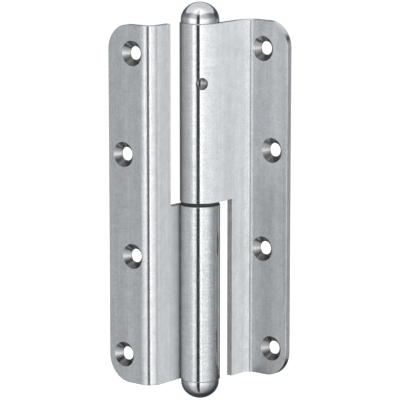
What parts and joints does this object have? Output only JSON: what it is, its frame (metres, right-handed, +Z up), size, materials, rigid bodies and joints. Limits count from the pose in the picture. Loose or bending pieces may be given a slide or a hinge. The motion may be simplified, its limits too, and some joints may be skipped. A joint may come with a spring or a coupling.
{
  "type": "lift-off butt hinge",
  "caption": "Lift-off door hinge with folded steel leaves rolled round a pin, a bearing washer and domed caps.",
  "frame": {"origin": "on the pin axis at mid-height", "axes": "+Z up the pin, X along both flats with the door leaf at +X, -Y towards the countersunk faces"},
  "size_m": [0.061, 0.0524, 0.178],
  "materials": {
    "leaf_steel": "satin zinc plating",
    "cap_steel": "bright zinc plating",
    "pin_steel": "ground steel",
    "washer_plastic": "plain moulded"
  },
  "bodies": {
    "frame": {"frame_leaf": "leaf_steel", "hinge_pin": "pin_steel", "bottom_cap": "cap_steel"},
    "washer": {"bearing_washer": "washer_plastic"},
    "door": {"door_leaf": "leaf_steel", "top_cap": "cap_steel", "locking_pin": "pin_steel"}
  },
  "joints": [
    {"name": "leaf_swing", "type": "hinge", "parent": "frame", "child": "washer", "pos_m": [0, 0, 0], "axis": [0, 0, 1], "range_deg": [-160, 160]},
    {"name": "leaf_lift", "type": "slide", "parent": "washer", "child": "door", "axis": [0, 0, 1], "range_m": [0, 0.05]}
  ]
}
